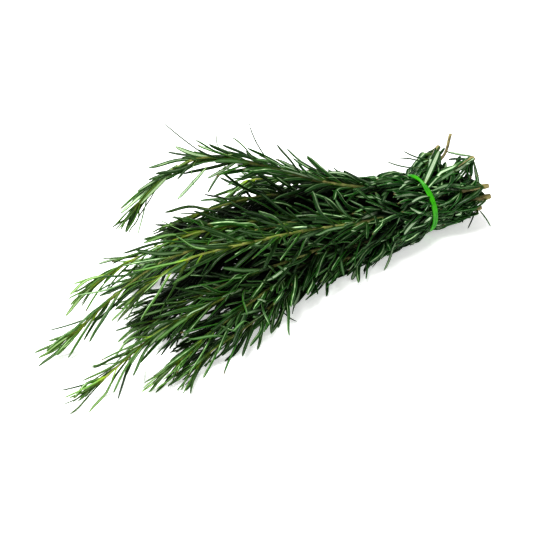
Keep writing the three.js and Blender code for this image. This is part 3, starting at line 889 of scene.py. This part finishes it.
class Sprig:
    # one cut shoot: a stem with its leaves
    def __init__(self, index, node, tie, cut, route, youth, thickness, spread, fullness):
        self.name, self.node = f"{index + 1:02d}", node
        self.tie, self.youth, self.spread, self.fullness = tie, youth, spread, fullness
        self.rng = random.Random(4100 + index)
        self.stem = Stem(tie, cut, route, thickness)
        self.marks = nodeMarks(self.stem, growth["bareStick"] if len(cut) > 1 else 0.0, fullness, self.rng)
        self.pile = LeafPile()
        self.growPairs()
        self.growAtTheBand()
        self.growAtTheCut()
        self.growWisps()
        self.growCrown()
        self.addStrays()

    def ageAt(self, share):
        tender = eased(share, 0.95 - 0.5 * self.youth, 1.1)
        return min(1.0, tender + self.youth * 0.4 * eased(share, 0.3, 0.8))

    def around(self, mark, turn):
        along, level, up = self.stem.axes(mark)
        return level * math.cos(turn) + up * math.sin(turn)

    def sprout(self, mark, out, opening, size, width, freshness=0.0, backwards=False, **leaf):
        rng, stem = self.rng, self.stem
        share = mark / stem.length
        ahead = mark if backwards else min(stem.length, mark + growth["leadAhead"])
        along = stem.direction(ahead) * (-1 if backwards else 1)
        base = stem.at(mark)
        ruffled = eased(base[0], 0, 12)  # leaves beyond the band are pushed about by the tying
        leaf.setdefault("bend", rng.gauss(6, 13) - 0.4 * opening * rng.random() + ruffled * rng.gauss(0, 26))
        leaf.setdefault("wave", rng.gauss(0, 9))
        leaf.update(opening=opening, length=leafLength(share) * size,
                    width=width * mix(1.0, growth["tipWidth"], eased(share, 0.6, 1)), twist=rng.gauss(0, 30),
                    sway=rng.gauss(0, 0.16 + 0.42 * eased(base[0], -45, 0)),
                    age=min(1.0, self.ageAt(share) + freshness))
        self.pile.add(base + out * stem.radius(mark) * 0.6, along, out, leaf, rng)

    def growPairs(self):
        rng = self.rng
        for pair, mark in enumerate(self.marks):
            share = mark / self.stem.length
            x = self.stem.at(mark)[0]
            ruffled = eased(x, 0, 12)
            for sideOf in (0, 1):
                turn = math.radians(pair * 90 + sideOf * 180 + rng.uniform(-22, 22))
                opening = openingAt(x, share) * self.spread * rng.uniform(0.55, 1.4 + 0.5 * ruffled)
                self.sprout(mark, self.around(mark, turn), opening, rng.uniform(0.9, 1.25),
                            rng.uniform(0.8, 1.15), rng.uniform(0, 0.1))
                tufted = self.fullness * mix(1.0, growth["tipTufts"], eased(share, 0.6, 0.85))
                short = sum(rng.random() < tufted for k in range(growth["tuft"][self.fullness > 0.9]))
                between = min(self.stem.length - 3, mark + rng.uniform(2, 6))
                for k in range(short):
                    aside = turn + math.radians(rng.uniform(-65, 65))
                    self.sprout(mark, self.around(mark, aside), opening * rng.uniform(0.35, 1.05),
                                rng.uniform(0.5, 1.0), rng.uniform(0.65, 1.0), rng.uniform(0.02, 0.16))
                if rng.random() < mix(0.5, 0.1, eased(share, 0.55, 0.85)):
                    aside = turn + math.radians(rng.uniform(50, 130))
                    self.sprout(between, self.around(between, aside), opening * rng.uniform(0.5, 1.0),
                                rng.uniform(0.7, 1.05), rng.uniform(0.65, 0.95), rng.uniform(0, 0.12))

    def growAtTheBand(self):
        # the leaves that lie over and under the band, on the outside of the bunch
        rng, stem = self.rng, self.stem
        if self.tie[0] != outer:
            return
        inBand = stem.marks[np.argmin(np.abs(stem.path[:, 0] - bunch["bandShift"]))]
        for k in range(growth["bandLeaves"]):
            mark = max(4.0, inBand + rng.uniform(-30, 36))
            radial = stem.at(mark) - bandCentre
            along = stem.direction(mark)
            radial = unit(radial - along * (radial @ along))
            turn = math.radians(rng.gauss(0, 40))
            outward = radial * math.cos(turn) + np.cross(along, radial) * math.sin(turn)
            self.sprout(mark, outward, rng.uniform(10, 46), rng.uniform(0.7, 1.05), rng.uniform(1.0, 1.5),
                        bend=rng.gauss(-12, 18), wave=rng.gauss(0, 12), tint=rng.random() ** 2)
        for k in range(growth["shoulderLeaves"]):  # these bulge up beside the band and hide its far rim
            mark = inBand + rng.uniform(0.5, 11)
            turn = math.radians(rng.gauss(0, 25))
            along, level, up = stem.axes(mark)
            outward = unit(stem.at(mark) - bandCentre + (0, 0, 6))
            outward = unit(outward - along * (outward @ along))
            outward = outward * math.cos(turn) + np.cross(along, outward) * math.sin(turn)
            self.sprout(mark, outward, rng.uniform(38, 58), rng.uniform(0.7, 1.0), rng.uniform(0.9, 1.3),
                        bend=rng.gauss(-68, 8))

    def growAtTheCut(self):
        # leaves near the cut ends point every way, some of them back past the cut
        rng, stem = self.rng, self.stem
        bare = growth["bareStick"] if self.marks[0] > growth["bareStick"] else 0.0
        for k in range(growth["cutLeaves"]):
            mark = bare + rng.uniform(1.5, 30)
            backwards = rng.random() < 0.5 and mark > bare + 12
            size = rng.uniform(0.6, 1.05)
            if backwards:  # no further than the cut
                size = min(size, (mark - bare + 1) / growth["longest"])
            self.sprout(mark, self.around(mark, rng.uniform(0, 2 * math.pi)), rng.uniform(8, 48), size,
                        rng.uniform(1.0, 1.45), backwards=backwards, bend=rng.gauss(0, 26),
                        wave=rng.gauss(0, 14))

    def growWisps(self):
        rng = self.rng
        for k in range(growth["wisps"]):
            mark = rng.uniform(0.05, 0.97) * self.stem.length
            self.sprout(mark, self.around(mark, rng.uniform(0, 2 * math.pi)), rng.uniform(12, 46),
                        rng.uniform(0.6, 1.2), rng.uniform(0.2, 0.36), 0.1, bend=rng.gauss(0, 38))

    def growCrown(self):
        rng, stem = self.rng, self.stem
        for k in range(growth["crown"]):
            mark = stem.length - 1.0 - 1.5 * k
            spiral = self.around(mark, math.radians(k * 137.5))
            self.sprout(mark, spiral, (2.0 + 2.0 * k) * rng.uniform(0.7, 1.4), rng.uniform(0.5, 0.95),
                        rng.uniform(0.7, 1.0), 0.1 + 0.35 * self.youth, bend=rng.gauss(0, 9))

    def addStrays(self):
        for number, foot, tip, width, curl, freshness in strays:
            if number == int(self.name):
                foot, reach = np.array(foot, dtype=float), np.array(tip, dtype=float) - foot
                along = unit(reach)
                steep = abs(along[2]) >= 0.9
                upward = np.array((0.0, -1.0, 0.0) if steep else (0.0, 0.0, 1.0))
                leaf = {"opening": -curl / 2, "bend": curl, "twist": 0.0,
                        "length": np.linalg.norm(reach) * 1.02, "width": width,
                        "age": self.ageAt(0.3) + freshness, "faceUp": width < 1, "tint": 0.2, "loose": True}
                self.pile.add(foot, along, unit(upward - along * (upward @ along)), leaf, self.rng)

    def build(self, thicket):
        buildStem("stem_" + self.name, self.node, self.stem, self.marks, self.youth, thicket)
        self.pile.build("leaves_" + self.name, self.node, thicket)


grown = [Sprig(index, *sprig) for index, sprig in enumerate(sprigs)]
print("sprigs grown:", len(grown), "with", sum(sprig.pile.leaves for sprig in grown), "leaves")

thicket = Thicket(np.vstack([spine for sprig in grown for spine in sprig.pile.spines]))
for sprig in grown:
    sprig.build(thicket)
deepest = round(thicket.depth.max(), 2)
print("stems and leaves built, depth from", round(thicket.depth.min(), 2), "to", deepest)

bandShape = {
    "innerRadius": 17.3,
    "width": 1.9,
    "thickness": 1.15,
    "offset": 0.88,  # of each strand from the middle
    "crossAt": 100.0,  # clock angle where one strand crosses the other
    "crossReach": 30.0,
    "crossLift": 0.55,
    "crossRoll": 35.0,  # degrees that each strand rolls where they cross
    "squareness": 0.6,  # of its section: 1 is an ellipse, and less is squarer
    "steps": 160,
    "sides": 14,
}


def rounded(share):
    return math.copysign(abs(share) ** bandShape["squareness"], share)


def buildBand():
    steps, sides = bandShape["steps"], bandShape["sides"]
    points, faces = [], []
    start = 0
    for strand in (-1, 1):
        for step in range(steps):
            clock = 360.0 * step / steps
            angle = math.radians(clock)
            away = (clock - bandShape["crossAt"] + 180) % 360 - 180
            crossing = 1 - eased(abs(away), 0, bandShape["crossReach"])
            sideways = strand * bandShape["offset"] * (1 - crossing)
            lift = bandShape["crossLift"] * crossing if strand > 0 else 0.0
            radius = bandShape["innerRadius"] + bandShape["thickness"] / 2 + lift
            outward = np.array((-bunch["bandLean"] * math.sin(angle), math.cos(angle), math.sin(angle)))
            middle = bandCentre + outward * radius + np.array((sideways, 0, 0))
            roll = math.radians(bandShape["crossRoll"]) * crossing * strand
            for k in range(sides):
                turn = 2 * math.pi * k / sides
                x = rounded(math.cos(turn)) * bandShape["width"] / 2
                y = rounded(math.sin(turn)) * bandShape["thickness"] / 2
                x, y = x * math.cos(roll) - y * math.sin(roll), x * math.sin(roll) + y * math.cos(roll)
                points.append(middle + np.array((x, 0, 0)) + outward * y)
        for step in range(steps):
            ahead = (step + 1) % steps
            for k in range(sides):
                n = (k + 1) % sides
                faces.append((start + step * sides + k, start + ahead * sides + k,
                              start + ahead * sides + n, start + step * sides + n))
        start = len(points)
    makeMesh("band", points, faces, bandRubber, "rubber_band")


buildBand()
print("band wound")
